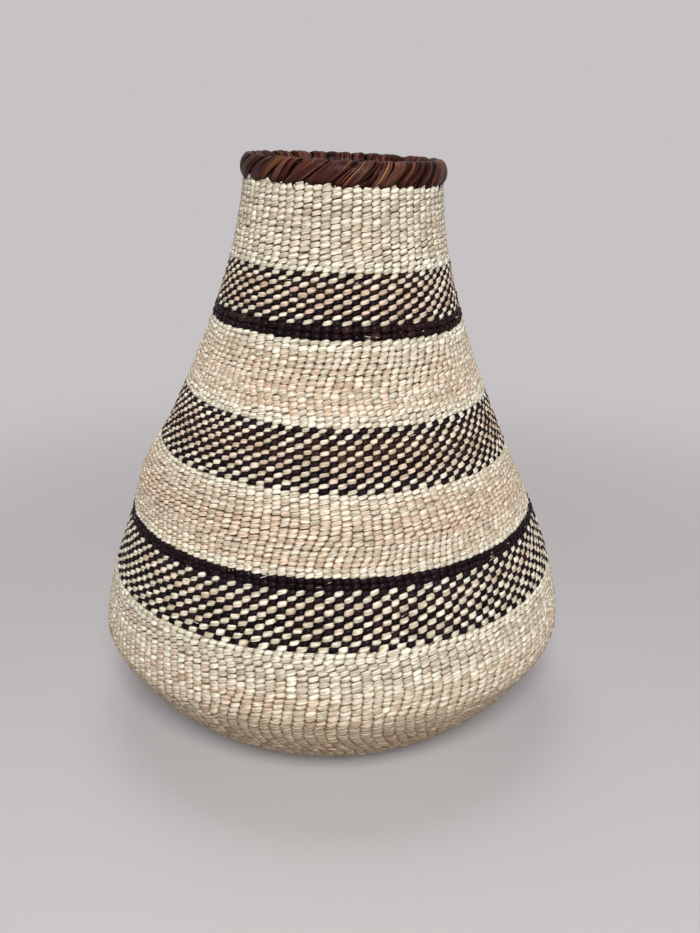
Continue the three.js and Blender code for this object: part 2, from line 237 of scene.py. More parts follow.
# A stake has its full width at the usual spacing, and shares of it where the stakes stand otherwise
STAKE_WIDTH = 3.0
STAKE_THICKNESS = 0.8
STAKE_WIDTH_LIMITS = (0.35, 1.1)
STAKE_WIDTH_AT_START = 0.9
STAKE_TIP = 2
STAKE_DEPTH_IN_HOOP = 3.5
USUAL_SPACING = 5.0
FIRST_STAKES = 24
START_SPACING = 3.1
START_CROSSINGS = 3
START_WEAVE_RISE = 0.55 * STAKE_THICKNESS

# Solids of the frame that the stakes stand for
LONG_STAKES = 6
ADDED_STAKES = 12

# A stake that will be doubled or will end is picked this many rows before. Picks go round the basket
# by the golden share of a turn. A cell's width is a share of a plain one, and sway is a share of it.
ROWS_TO_SETTLE = 3
GOLDEN_SHARE = 0.618034
PICK_SPREAD = 0.08
CELL_BEFORE_DOUBLING = 1.7
CELL_BEFORE_ENDING = 0.45
CELL_CHANGE_PER_ROW = 0.35
CELL_LIMITS = (0.4, 2.0)
STAKE_SWAY = 0.045
STAKE_STEADINESS = 0.8


def cubic(corners, points):
    """Points of a cubic curve with four corners, without its first point."""
    a, b, c, d = (np.array(corner, dtype=float) for corner in corners)
    t = np.linspace(0, 1, points)[1:, None]
    return a * (1 - t) ** 3 + 3 * b * t * (1 - t) ** 2 + 3 * c * t * t * (1 - t) + d * t**3


resting_face = np.column_stack([np.linspace(0, RESTING_RADIUS, RESTING_POINTS), np.zeros(RESTING_POINTS)])
lower_curve = cubic(
    [
        (RESTING_RADIUS, 0),
        (RESTING_RADIUS + BASE_ROUNDING, 0),
        (BELLY_RADIUS, BELLY_HEIGHT - BELLY_ROUNDING_BELOW),
        (BELLY_RADIUS, BELLY_HEIGHT),
    ],
    LOWER_POINTS,
)
upper_curve = cubic(
    [
        (BELLY_RADIUS, BELLY_HEIGHT),
        (BELLY_RADIUS, BELLY_HEIGHT + BELLY_ROUNDING_ABOVE),
        (NECK_RADIUS + NECK_FLARE, WALL_HEIGHT - NECK_ROUNDING),
        (NECK_RADIUS, WALL_HEIGHT),
    ],
    UPPER_POINTS,
)
last_step = upper_curve[-1] - upper_curve[-2]
run_on = upper_curve[-1] + OUTLINE_RUNS_ON * last_step / np.linalg.norm(last_step)
outline = np.vstack([resting_face, lower_curve, upper_curve, run_on])
outline_step = np.linalg.norm(np.diff(outline, axis=0), axis=1)
outline_s = np.concatenate([[0], np.cumsum(outline_step)]) - START_RADIUS
outline_turn = np.unwrap(
    np.arctan2(np.gradient(outline[:, 1], outline_s), np.gradient(outline[:, 0], outline_s))
)

# The wall ends at the last point but one, where the outline starts to run on
wall_length = outline_s[-2]


def smooth_share(values, start, full):
    """0 below start, 1 above full and smooth between them."""
    t = np.clip((values - start) / (full - start), 0, 1)
    return t * t * (3 - 2 * t)


def shaped_by_hand(x, y, z):
    """The neck leans to the right, the upper bands dip to the right and the rim to the back.

    The left side swells out below the middle check. The result is in metres.
    """
    lean = NECK_LEAN * np.maximum(z / WALL_HEIGHT, 0) ** 2
    left_share = np.clip(-x / LEFT_SWELL_FULL_REACH, 0, 1) ** 2
    swell = LEFT_SWELL * left_share * np.exp(-(((z - LEFT_SWELL_HEIGHT) / LEFT_SWELL_SPREAD) ** 2))
    band_share = smooth_share(z, DIP_START_HEIGHT, DIP_FULL_HEIGHT)
    rim_share = smooth_share(z, RIM_DIP_START_HEIGHT, RIM_DIP_FULL_HEIGHT)
    dip = math.tan(math.radians(BAND_DIP_DEGREES)) * band_share * x
    dip = dip + math.tan(math.radians(RIM_DIP_DEGREES)) * rim_share * y
    return np.column_stack([x + lean - swell, y, z - dip]) * MILLIMETRE


def wall_place(angle, s, inset):
    """Metres on the wall: s along it from the base start, inset below the outer face."""
    turn = np.interp(s, outline_s, outline_turn)
    radius = np.interp(s, outline_s, outline[:, 0]) - np.sin(turn) * inset
    z = np.interp(s, outline_s, outline[:, 1]) + np.cos(turn) * inset
    return shaped_by_hand(radius * np.cos(angle), radius * np.sin(angle), z)


band_widths = [band[1] for band in BANDS[:-1]]
band_widths.append(wall_length - sum(band_widths))
row_band = []
row_start = []
row_pitch = []
row_stakes = []
border = 0.0
stakes_before = FIRST_STAKES
for band, (_, _, rows, stakes_at_end, change_from, change_to, dyed) in enumerate(BANDS):
    for row in range(rows):
        share = (row + 1) / rows
        stakes = np.interp(share, [change_from, change_to], [stakes_before, stakes_at_end])
        if row + 1 < rows and dyed == 0:
            # An even number keeps each strand in its own columns of stitches
            stakes = 2 * round(stakes / 2)
        row_band.append(band)
        row_start.append(border + band_widths[band] * row / rows)
        row_pitch.append(band_widths[band] / rows)
        row_stakes.append(int(round(stakes)))
    border += band_widths[band]
    stakes_before = stakes_at_end
row_total = len(row_band)


class Stake:
    """A stake as a row passes it, with the width of its cell and the width that the cell goes to."""

    def __init__(self, number, width=1.0, sway=0.0):
        self.number = number
        self.width = width
        self.goal = 1.0
        self.sway = sway


def stakes_by_row(random):
    """For every row the stakes' numbers, their angles from the seam and their cells' widths.

    A stake that is about to be doubled gets a wider cell, and one that is about to end is drawn
    towards its neighbour, so the columns of stitches part and join over a few rows. Each stake also
    sways a little beside its place from row to row.
    """
    stakes = [Stake(number) for number in range(FIRST_STAKES)]
    next_number = FIRST_STAKES
    turn = 0.0
    layout = []
    for row in range(row_total):
        change = row_stakes[row] - len(stakes)
        marked = [stake for stake in stakes if stake.goal != 1]
        for _ in range(abs(change)):
            choice = marked or stakes
            stake = choice[int(random.integers(len(choice)))]
            if marked:
                marked.remove(stake)
            i = stakes.index(stake)
            if change > 0:
                stake.width /= 2
                stake.goal = 1.0
                stakes.insert(i + 1, Stake(next_number, stake.width, stake.sway))
                next_number += 1
            else:
                neighbour = stakes[i - 1 if i else 1]
                neighbour.width += stake.width
                stakes.remove(stake)

        soon = min(row + ROWS_TO_SETTLE, row_total - 1)
        wanted = row_stakes[soon] - len(stakes)
        marked_now = sum(stake.goal != 1 for stake in stakes)
        for _ in range(max(abs(wanted) - marked_now, 0)):
            turn = (turn + GOLDEN_SHARE + PICK_SPREAD * random.standard_normal()) % 1
            stake = stakes[int(turn * len(stakes))]
            if stake.goal == 1:
                stake.goal = CELL_BEFORE_DOUBLING if wanted > 0 else CELL_BEFORE_ENDING
        for stake in stakes:
            if wanted == 0:
                stake.goal = 1.0
            width = stake.width + CELL_CHANGE_PER_ROW * (stake.goal - stake.width)
            stake.width = min(max(width, CELL_LIMITS[0]), CELL_LIMITS[1])
            stake.sway = STAKE_STEADINESS * stake.sway + STAKE_SWAY * random.standard_normal()

        cells = np.array([stake.width for stake in stakes])
        sways = np.array([stake.sway for stake in stakes])
        ends = np.cumsum(cells)
        angles = math.tau * (ends - cells / 2 + sways) / ends[-1]
        layout.append(([stake.number for stake in stakes], angles, math.tau * cells / ends[-1]))
    return layout


def bevel_profile(name, corners):
    """A closed cross-section in millimetres for a strip. It runs clockwise, so faces point out."""
    curve = bpy.data.curves.new(name, "CURVE")
    curve.dimensions = "2D"
    spline = curve.splines.new("POLY")
    spline.points.add(len(corners) - 1)
    for point, (x, y) in zip(spline.points, corners):
        point.co = (x * MILLIMETRE, y * MILLIMETRE, 0, 1)
    spline.use_cyclic_u = True
    return bpy.data.objects.new(name, curve)


def strips_mesh(name, profile, paths, twist):
    """One mesh of strips. A path holds its places in metres, its tilts and its shares of width."""
    curve = bpy.data.curves.new(name, "CURVE")
    curve.dimensions = "3D"
    curve.twist_mode = twist
    curve.bevel_mode = "OBJECT"
    curve.bevel_object = profile
    curve.use_fill_caps = True
    for places, tilts, widths in paths:
        spline = curve.splines.new("POLY")
        spline.points.add(len(places) - 1)
        spline.points.foreach_set("co", np.column_stack([places, np.ones(len(places))]).ravel())
        spline.points.foreach_set("tilt", tilts)
        spline.points.foreach_set("radius", widths)
    drawn = bpy.data.objects.new(name, curve)
    bpy.context.scene.collection.objects.link(profile)
    bpy.context.scene.collection.objects.link(drawn)
    depsgraph = bpy.context.evaluated_depsgraph_get()
    mesh = bpy.data.meshes.new_from_object(drawn.evaluated_get(depsgraph))
    mesh.name = name
    bpy.data.objects.remove(drawn)
    bpy.context.scene.collection.objects.unlink(profile)
    bpy.data.curves.remove(curve)
    return mesh


# Metres within which the corners of a cap and of its strip are one
CAP_GAP = 1e-7


def close_caps(mesh):
    """Joins the caps to their strips, so that every strip is one closed surface."""
    bm = bmesh.new()
    bm.from_mesh(mesh)
    bmesh.ops.remove_doubles(bm, verts=bm.verts, dist=CAP_GAP)
    bm.to_mesh(mesh)
    bm.free()


def piece_from(name, mesh, material, replaced):
    """A piece of the basket, with the solids that it replaces, if any."""
    piece = bpy.data.objects.new(name, mesh)
    bpy.context.scene.collection.objects.link(piece)
    mesh.materials.clear()
    mesh.materials.append(material)
    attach(piece, "root")
    if replaced:
        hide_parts(*replaced)


def place_on_object(tree):
    return tree.nodes.new("ShaderNodeTexCoord").outputs["Object"]


def noise(tree, vector, scale, detail):
    node = tree.nodes.new("ShaderNodeTexNoise")
    node.inputs["Scale"].default_value = scale
    node.inputs["Detail"].default_value = detail
    tree.links.new(vector, node.inputs["Vector"])
    return node.outputs["Fac"]


def colours_along(tree, value, stops):
    """A colour that follows the value through stops, each with its position and its colour."""
    node = tree.nodes.new("ShaderNodeValToRGB")
    elements = node.color_ramp.elements
    while len(elements) < len(stops):
        elements.new(0.5)
    for element, (position, colour) in zip(elements, stops):
        element.position = position
        element.color = colour
    tree.links.new(value, node.inputs["Fac"])
    return node.outputs["Color"]


def add_bump(tree, shader, height, strength, depth):
    """Bump whose depth is in metres."""
    node = tree.nodes.new("ShaderNodeBump")
    node.inputs["Strength"].default_value = strength
    node.inputs["Distance"].default_value = depth
    tree.links.new(height, node.inputs["Height"])
    tree.links.new(node.outputs["Normal"], shader.inputs["Normal"])


def crossing_places(number):
    """The start of one of the first stakes, over and under the stakes that cross it.

    The first stakes leave the middle of the base in four groups, and the crossing is counted in
    spacings from its corner.
    """
    angle = SEAM_ANGLE + math.tau * (number + 0.5) / FIRST_STAKES
    side = round(angle / (math.pi / 2))
    heading = side * math.pi / 2
    offset = (angle - heading) / (math.tau / FIRST_STAKES) * START_SPACING
    corner = (FIRST_STAKES / 4 - 1) / 2
    places = []
    for k in range(START_CROSSINGS + 1):
        out = max(k * START_SPACING - START_SPACING / 2, 0)
        x = out * math.cos(heading) - offset * math.sin(heading)
        y = out * math.sin(heading) + offset * math.cos(heading)
        z = WALL_THICKNESS / 2
        if k:
            crossed = round(x / START_SPACING + corner) + round(y / START_SPACING + corner)
            runs_along_x = side % 2 == 0
            z += START_WEAVE_RISE if (crossed + runs_along_x) % 2 else -START_WEAVE_RISE
        places.append((x, y, z))
    return np.array(places) * MILLIMETRE


layout = stakes_by_row(np.random.default_rng(11))
rows_of_stake = {}
for row, (numbers, angles, cells) in enumerate(layout):
    for number, angle, cell in zip(numbers, angles, cells):
        s = row_start[row] + row_pitch[row] * (angle / math.tau)
        spacing = cell * np.interp(s, outline_s, outline[:, 0])
        rows_of_stake.setdefault(number, []).append((SEAM_ANGLE + angle, s, spacing, row))

stake_paths = []
for number, passed in rows_of_stake.items():
    angle, s, spacing, rows = (np.array(values) for values in zip(*passed))
    reaches_rim = rows[-1] == row_total - 1
    end = wall_length + STAKE_DEPTH_IN_HOOP if reaches_rim else s[-1] + STAKE_TIP
    on_wall = wall_place(np.append(angle, angle[-1]), np.append(s, end), WALL_THICKNESS / 2)
    if number < FIRST_STAKES:
        start = crossing_places(number)
        spacing_at_start = USUAL_SPACING * STAKE_WIDTH_AT_START
    else:
        start = wall_place(angle[:1], s[:1] - STAKE_TIP, WALL_THICKNESS / 2)
        spacing_at_start = spacing[0]
    places = np.vstack([start, on_wall])
    spacings = np.concatenate([np.full(len(start), spacing_at_start), spacing, spacing[-1:]])
    widths = np.clip(spacings / USUAL_SPACING, *STAKE_WIDTH_LIMITS)
    stake_paths.append((places, np.zeros(len(places)), widths))

stake_profile = bevel_profile(
    "stake_profile",
    [
        (-STAKE_WIDTH / 2, STAKE_THICKNESS / 2),
        (STAKE_WIDTH / 2, STAKE_THICKNESS / 2),
        (STAKE_WIDTH / 2, -STAKE_THICKNESS / 2),
        (-STAKE_WIDTH / 2, -STAKE_THICKNESS / 2),
    ],
)

stake_material, tree, shader = material_named("stake_palm", roughness=0.7, specular=0.3)
grain = noise(tree, place_on_object(tree), scale=420, detail=3)
# Brown stakes, made darker still as painted shade in the holes between the stitches
stake_colours_and_painted_shade = [(0.3, (0.10, 0.06, 0.03, 1)), (0.7, (0.24, 0.16, 0.09, 1))]
tree.links.new(colours_along(tree, grain, stake_colours_and_painted_shade), shader.inputs["Base Color"])
add_bump(tree, shader, grain, strength=0.4, depth=0.0002)

stakes_mesh = strips_mesh("stakes", stake_profile, stake_paths, "MINIMUM")
close_caps(stakes_mesh)
for polygon in stakes_mesh.polygons:
    polygon.use_smooth = False
stake_nodes = [f"long_stake_{k + 1}" for k in range(LONG_STAKES)]
stake_nodes += [f"added_stake_{k + 1}" for k in range(ADDED_STAKES)]
piece_from("stakes", stakes_mesh, stake_material, stake_nodes)


# Natural strands
# Two strands of split palm leaf twine round the stakes in one long spiral. At every stake one
# strand passes in front and the other behind, and between two stakes they cross. A new leaf is
# spliced in every hundred stitches or two, and leaf runs from greenish cream to a pinkish tan.
STRAND_OUT = 1.35
STRAND_LIFT_AT_CROSSING = 0.75
STRAND_WIDTH_AT_CROSSING = 0.42
STITCHES_PER_LEAF = (60, 260)

# The section suits a row as high as the strand is wide, and it grows and shrinks with the row. It is
# crowned outside and flatter inside, and its three depths are taken from the path that it follows.
STRAND_WIDTH = 3.0
STRAND_OUTER_DEPTH = 0.65
STRAND_EDGE_DEPTH = 0.15
STRAND_INNER_DEPTH = 0.5
STRAND_FLAT_OUTSIDE = 1.9
STRAND_FLAT_INSIDE = 1.8

# The solids' outer face lies at the middle depth of the weave, so the strands run a little further
# out than the middle of the wall, except on the flat base, where they rest on the floor.
WEAVE_DEPTH = 1.5
WEAVE_DEPTH_AT_BASE = 2.6
BASE_WEAVE_ENDS = 72
WALL_WEAVE_STARTS = 105

# Leaf in each band: its blush, where 0 is greenish cream, 0.7 peach and 1 brown, how far a stitch
# climbs from its middle to its end in millimetres, and the width of natural leaf as a share of the
# row. Below the low check one strand is a little browner than the other, so columns alternate.
LEAF_OF_BANDS = [
    # blush, climb, width, difference of the two strands' blush
    (0.40, 0.30, 1.15, 0.25),
    (0.38, 0.35, 1.15, 0.25),
    (0.32, 0.65, 1.12, 0.25),
    (0.27, 0.70, 1.06, 0),
    (0.40, 0.50, 1.15, 0),
    (0.52, 0.55, 1.14, 0),
    (0.46, 0.60, 1.06, 0),
    (0.36, 0.70, 1.13, 0),
    (0.40, 0.50, 1.15, 0),
    (0.50, 0.70, 1.06, 0),
    (0.22, 0.80, 1.06, 0),
]
DYED_BLUSH = 0.2
DYED_WIDTH = 1.12
MIDDLE_TONE = 0.5

# The rows next to a border are paler, and the rows underneath are darkened with painted shade where the
# wall turns under
BORDER_ROWS = 2
BORDER_BLUSH = -0.35
BORDER_TONE = 0.15
UNDERSIDE_SHADE_FULL_BELOW = 145
UNDERSIDE_SHADE_ENDS = 167

# How uneven the stitches are: their blush, tone and width, and then their places in millimetres,
# except that the way out is a share and the lean is in radians
UNEVEN_BLUSH = 0.04
UNEVEN_TONE = 0.13
UNEVEN_WIDTH = 0.06
UNEVEN_OUT = 0.12
UNEVEN_CLIMB = 0.12
UNEVEN_HEIGHT = 0.15
UNEVEN_LEAN = 0.18

# Slow waves of blush and height: how many, their range of whole turns round the basket, which leaves
# out the last number, and their range of radians for a millimetre of the wall
WAVE_OF_BLUSH = 0.07
WAVE_OF_HEIGHT = 0.35
WAVES = 7
WAVES_ROUND = (1, 9)
WAVES_ALONG = (0.02, 0.09)

# How one leaf differs from the next
LEAF_BLUSH = 0.12
DYED_LEAF_BLUSH = 0.25
LEAF_TONE = 0.10
LEAF_WIDTH = 0.07

# Points of a stitch: share of its room, of the way out, of the climb and of the width
POINTS_IN_FRONT = [
    (0.10, 0.55, -1.0, 0.84),
    (0.26, 0.92, -0.5, 1.0),
    (0.50, 1.00, 0.0, 1.0),
    (0.74, 0.92, 0.5, 1.0),
    (0.90, 0.55, 1.0, 0.82),
]
POINTS_BEHIND = [(0.50, 1.00, 0.0, 1.0)]

stitch_row = np.concatenate([np.full(len(numbers), row) for row, (numbers, _, _) in enumerate(layout)])
stitch_share = np.concatenate([angles / math.tau for _, angles, _ in layout])
stitch_angle = SEAM_ANGLE + math.tau * (stitch_row + stitch_share)
stitch_cell = np.concatenate([cells for _, _, cells in layout])
stitch_pitch = np.array(row_pitch)[stitch_row]
stitch_s = np.array(row_start)[stitch_row] + stitch_pitch * stitch_share
stitch_s = np.clip(stitch_s, stitch_pitch / 2, wall_length - stitch_pitch / 2)
stitch_band = np.array(row_band)[stitch_row]
stitch_dyed = np.array(BAND_DYED)[stitch_band]
stitch_total = len(stitch_row)
crossing_angle = np.concatenate(
    [
        [stitch_angle[0] - stitch_cell[0] / 2],
        (stitch_angle[1:] + stitch_angle[:-1]) / 2,
        [stitch_angle[-1] + stitch_cell[-1] / 2],
    ]
)
at_border = np.zeros(stitch_total)
for band in range(1, len(BANDS)):
    rows_of_band = np.flatnonzero(np.array(row_band) == band)
    if len(rows_of_band) > 2 * BORDER_ROWS:
        near = np.append(rows_of_band[:BORDER_ROWS], rows_of_band[-BORDER_ROWS:])
        at_border[np.isin(stitch_row, near)] = 1


def wave_over_wall(random):
    """A slow wave over the wall at every stitch, mostly between -1 and 1."""
    total = np.zeros(stitch_total)
    for _ in range(WAVES):
        around = random.integers(*WAVES_ROUND)
        along = random.uniform(*WAVES_ALONG)
        total += np.sin(around * stitch_angle + along * stitch_s + random.uniform(0, math.tau))
    return total / WAVES**0.5


def strand_leaf(strand, random):
    """Blush, tone and width of a strand at every stitch, as one leaf is spliced to the next."""
    band_blush, _, band_width, band_difference = np.array(LEAF_OF_BANDS)[stitch_band].T
    is_dyed = strand + stitch_dyed > 1
    blush = np.where(is_dyed, DYED_BLUSH, band_blush)
    blush += UNEVEN_BLUSH * random.standard_normal(stitch_total)
    tone = MIDDLE_TONE + UNEVEN_TONE * random.standard_normal(stitch_total)
    width = np.where(is_dyed, DYED_WIDTH, band_width)
    width += UNEVEN_WIDTH * random.standard_normal(stitch_total)
    leaf_blush = np.where(is_dyed, DYED_LEAF_BLUSH, LEAF_BLUSH)
    first = 0
    while first < stitch_total:
        last = first + int(random.integers(*STITCHES_PER_LEAF))
        blush[first:last] += leaf_blush[first:last] * random.standard_normal()
        tone[first:last] += LEAF_TONE * random.standard_normal()
        width[first:last] += LEAF_WIDTH * random.standard_normal()
        first = last
    difference = band_difference * (strand - 0.5)
    blush += BORDER_BLUSH * at_border + WAVE_OF_BLUSH * wave_over_wall(random)
    tone += BORDER_TONE * at_border
    return np.clip(blush + difference, 0, 1), np.clip(tone - difference / 2, 0, 1), width


random = np.random.default_rng(5)
leaf_of_strands = [strand_leaf(0, random), strand_leaf(1, random)]
height_wave = wave_over_wall(np.random.default_rng(8))

strand_profile = bevel_profile(
    "strand_profile",
    [
        (-STRAND_WIDTH / 2, STRAND_EDGE_DEPTH),
        (-STRAND_FLAT_INSIDE / 2, STRAND_INNER_DEPTH),
        (STRAND_FLAT_INSIDE / 2, STRAND_INNER_DEPTH),
        (STRAND_WIDTH / 2, STRAND_EDGE_DEPTH),
        (STRAND_FLAT_OUTSIDE / 2, -STRAND_OUTER_DEPTH),
        (-STRAND_FLAT_OUTSIDE / 2, -STRAND_OUTER_DEPTH),
    ],
)


def strand_piece(name, strand, band, material):
    """One of the two strands of a band. Strand 0 lies in front at the even stitches."""
    random = np.random.default_rng(100 + 10 * band + strand)
    blush, tone, leaf_width = leaf_of_strands[strand]
    stitches = np.flatnonzero(stitch_band == band)
    size = len(stitches)
    out = STRAND_OUT * (1 + UNEVEN_OUT * random.standard_normal(size))
    climb = LEAF_OF_BANDS[band][1] + UNEVEN_CLIMB * random.standard_normal(size)
    shift = UNEVEN_HEIGHT * random.standard_normal(size) + WAVE_OF_HEIGHT * height_wave[stitches]
    width = stitch_pitch[stitches] / STRAND_WIDTH * leaf_width[stitches]
    lean = UNEVEN_LEAN * random.standard_normal(size)

    # Angle, way along the wall, inset, width, lean, share of the dive, blush and tone
    points = []
    for k, stitch in enumerate(stitches):
        side = 1 if (stitch + strand) % 2 == 0 else -1
        here = crossing_angle[stitch]
        there = crossing_angle[stitch + 1]
        middle = stitch_s[stitch] + shift[k]
        leaf = (blush[stitch], tone[stitch])
        crossing_s = middle - side * STRAND_LIFT_AT_CROSSING
        points.append((here, crossing_s, 0, width[k] * STRAND_WIDTH_AT_CROSSING, 0, 1, *leaf))
        for along, outward, climbed, wide in POINTS_IN_FRONT if side == 1 else POINTS_BEHIND:
            angle = here + (there - here) * along
            inset = -side * out[k] * outward
            s = middle + climbed * climb[k]
            points.append((angle, s, inset, width[k] * wide, lean[k], 1 - outward, *leaf))
    angle, s, inset, widths, leans, dive, blush, tone = (np.array(column) for column in zip(*points))

    turn = np.interp(s, outline_s, outline_turn)
    on_wall = smooth_share(s, BASE_WEAVE_ENDS, WALL_WEAVE_STARTS)
    depth = WEAVE_DEPTH_AT_BASE + (WEAVE_DEPTH - WEAVE_DEPTH_AT_BASE) * on_wall
    places = wall_place(angle, s, depth + inset)
    mesh = strips_mesh(name, strand_profile, [(places, -turn + leans * on_wall, widths)], "Z_UP")

    # The mesh has the corners of its two caps first, and then a ring of corners for every point
    corners = len(strand_profile.data.splines[0].points)
    ring = np.clip((np.arange(len(mesh.vertices)) - 2 * corners) // corners, 0, len(points) - 1)
    steps = np.linalg.norm(np.diff(places, axis=0), axis=1)
    values_at_points = {
        "blush": blush,
        "tone": tone,
        "run": np.concatenate([[0], np.cumsum(steps)]) / MILLIMETRE,
        "dive": dive,
        # Painted shade on the rows underneath, full low on the wall and gone higher up
        "underside_shade": 1 - smooth_share(s, UNDERSIDE_SHADE_FULL_BELOW, UNDERSIDE_SHADE_ENDS),
    }
    for title, values in values_at_points.items():
        mesh.attributes.new(title, "FLOAT", "POINT").data.foreach_set("value", values[ring])
    close_caps(mesh)
    piece_from(name, mesh, material, [BAND_NAMES[band]])


def short_name(band_name):
    return band_name.removesuffix("_weave").removesuffix("_band").removesuffix("_rows")


def unwrapped(tree):
    node = tree.nodes.new("ShaderNodeUVMap")
    node.uv_map = "UVMap"
    return node.outputs["UV"]


def split(tree, vector):
    """The X, Y and Z of a vector."""
    node = tree.nodes.new("ShaderNodeSeparateXYZ")
    tree.links.new(vector, node.inputs[0])
    return node.outputs


def stretched(tree, vector, scale):
    node = tree.nodes.new("ShaderNodeMapping")
    node.inputs["Scale"].default_value = scale
    tree.links.new(vector, node.inputs["Vector"])
    return node.outputs[0]


def mixed_colour(tree, share, first, second, blend="MIX"):
    """The first colour, mixed with or multiplied by a plain second one by a share."""
    node = tree.nodes.new("ShaderNodeMix")
    node.data_type = "RGBA"
    node.blend_type = blend
    tree.links.new(share, node.inputs["Factor"])
    tree.links.new(first, node.inputs["A"])
    node.inputs["B"].default_value = second
    return node.outputs["Result"]


# Fibres for one way round the strand and for a millimetre of its length, and how far the tone of a
# stitch sets its fibres apart. Their noise is darkest and clear at these two values.
FIBRES_AROUND = 10
FIBRES_PER_MILLIMETRE = 0.16
FIBRES_BY_TONE = 40
FIBRES_DARKEST = 0.40
FIBRES_CLEAR = 0.62

# The V of the unwrapped strand at the middle of its outer face, how far from there the painted shade of
# the edges starts and is full, and the share of its tint there. A dive gets painted shade after a fifth
# of it.
OUTER_MIDDLE = 0.75
EDGE_SHADE_STARTS = 0.18
EDGE_SHADE_FULL = 0.25
EDGE_SHADE = 0.5
DIVE_SHADE_STARTS = 0.2
# Tint of the painted shade on the rows underneath
UNDERSIDE_SHADE_TINT = (0.61, 0.54, 0.47, 1)


def leaf_material(name, colours, tone_range, fibre_tint, painted_gap_shade, roughness, specular, bump_depth):
    """Split palm leaf: colours by blush, lighter and darker by stitch, with fibres lengthwise.

    Painted shade darkens the leaf along its two edges, where it dives between the stakes and on the rows
    underneath.
    """
    material, tree, shader = material_named(name, roughness, specular)
    attributes = {}
    for title in ("blush", "tone", "run", "dive", "underside_shade"):
        node = tree.nodes.new("ShaderNodeAttribute")
        node.attribute_name = title
        attributes[title] = node.outputs["Fac"]
    around = split(tree, unwrapped(tree))["Y"]
    place = tree.nodes.new("ShaderNodeCombineXYZ")
    tree.links.new(around, place.inputs["X"])
    tree.links.new(attributes["run"], place.inputs["Y"])
    tree.links.new(attributes["tone"], place.inputs["Z"])
    fibre_scale = (FIBRES_AROUND, FIBRES_PER_MILLIMETRE, FIBRES_BY_TONE)
    fibres = noise(tree, stretched(tree, place.outputs[0], fibre_scale), scale=1, detail=3)
    from_middle = computed(tree, "ABSOLUTE", computed(tree, "SUBTRACT", around, OUTER_MIDDLE))

    toned = tree.nodes.new("ShaderNodeVectorMath")
    toned.operation = "SCALE"
    tree.links.new(colours_along(tree, attributes["blush"], colours), toned.inputs[0])
    tree.links.new(ranged(tree, attributes["tone"], 0, 1, *tone_range), toned.inputs["Scale"])
    colour = toned.outputs[0]
    tints = [
        (ranged(tree, fibres, FIBRES_DARKEST, FIBRES_CLEAR, 1, 0), fibre_tint),
        # Painted shade along the strand's edges and in its dives between the stakes
        (ranged(tree, from_middle, EDGE_SHADE_STARTS, EDGE_SHADE_FULL, 0, EDGE_SHADE), painted_gap_shade),
        (ranged(tree, attributes["dive"], DIVE_SHADE_STARTS, 1), painted_gap_shade),
        # Painted shade on the rows underneath
        (attributes["underside_shade"], UNDERSIDE_SHADE_TINT),
    ]
    for share, tint in tints:
        colour = mixed_colour(tree, share, colour, tint, "MULTIPLY")
    tree.links.new(colour, shader.inputs["Base Color"])
    add_bump(tree, shader, fibres, strength=0.6, depth=bump_depth)
    return material


natural_material = leaf_material(
    "natural_palm",
    colours=[
        (0, (0.605, 0.58, 0.490, 1)),
        (0.35, (0.61, 0.55, 0.450, 1)),
        (0.7, (0.60, 0.465, 0.360, 1)),
        (1, (0.33, 0.24, 0.155, 1)),
    ],
    tone_range=(0.92, 1.28),
    fibre_tint=(0.57, 0.52, 0.45, 1),
    # Painted shade in the gaps between stitches
    painted_gap_shade=(0.44, 0.31, 0.21, 1),
    roughness=0.36,
    specular=0.12,
    bump_depth=0.0007,
)

for band, name in enumerate(BAND_NAMES):
    for strand in range(2 - BAND_DYED[band]):
        strand_name = f"{short_name(name)}_strand_{strand + 1}"
        strand_piece(strand_name, strand, band, natural_material)


# Dyed strands
# The same leaf, boiled in bark dye until it is a black brown with a dull gloss. In the check bands
# one strand of the two is dyed, and in the dark rows both are.
dyed_material = leaf_material(
    "dyed_palm",
    colours=[
        (0, (0.0095, 0.0053, 0.0068, 1)),
        (0.35, (0.0120, 0.0058, 0.0063, 1)),
        (0.7, (0.0300, 0.0132, 0.0108, 1)),
        (1, (0.0560, 0.0240, 0.0175, 1)),
    ],
    tone_range=(0.65, 2.1),
    fibre_tint=(0.45, 0.42, 0.42, 1),
    # Painted shade in the gaps between stitches
    painted_gap_shade=(0.06, 0.03, 0.03, 1),
    roughness=0.28,
    specular=0.04,
    bump_depth=0.0006,
)

for band, name in enumerate(BAND_NAMES):
    for strand in range(2 - BAND_DYED[band], 2):
        strand_name = f"{short_name(name)}_dyed_strand_{strand + 1}"
        strand_piece(strand_name, strand, band, dyed_material)


# Loose fibres
# Splitting the leaf leaves thin pale slivers along its edges, and some lie loose across the rows: a
# third on the dark rows, a third on the checks and a third all over the wall. Half of those on the
# dark rows stand off the wall at one end.
FIBRE_COUNT = 260
FIBRE_WIDTH = 0.42
FIBRE_THICKNESS = 0.12
FIBRE_LENGTHS = (1.2, 4.5)
FIBRE_CLIMB = 0.15
FIBRE_CLIMB_SPREAD = 0.25
FIBRE_BEND_SPREAD = 0.5
FIBRE_STANDS_OFF = (0.3, 1.6)
FIBRE_STANDS_OFF_EVERY = 6
FIBRE_SHIFT = 1.5
FIBRE_POINTS = 7
FIBRE_NARROWEST = 0.35
FIBRE_OVER_STRAND = 0.62
FIBRE_LIFT = STRAND_OUT + FIBRE_OVER_STRAND - WEAVE_DEPTH

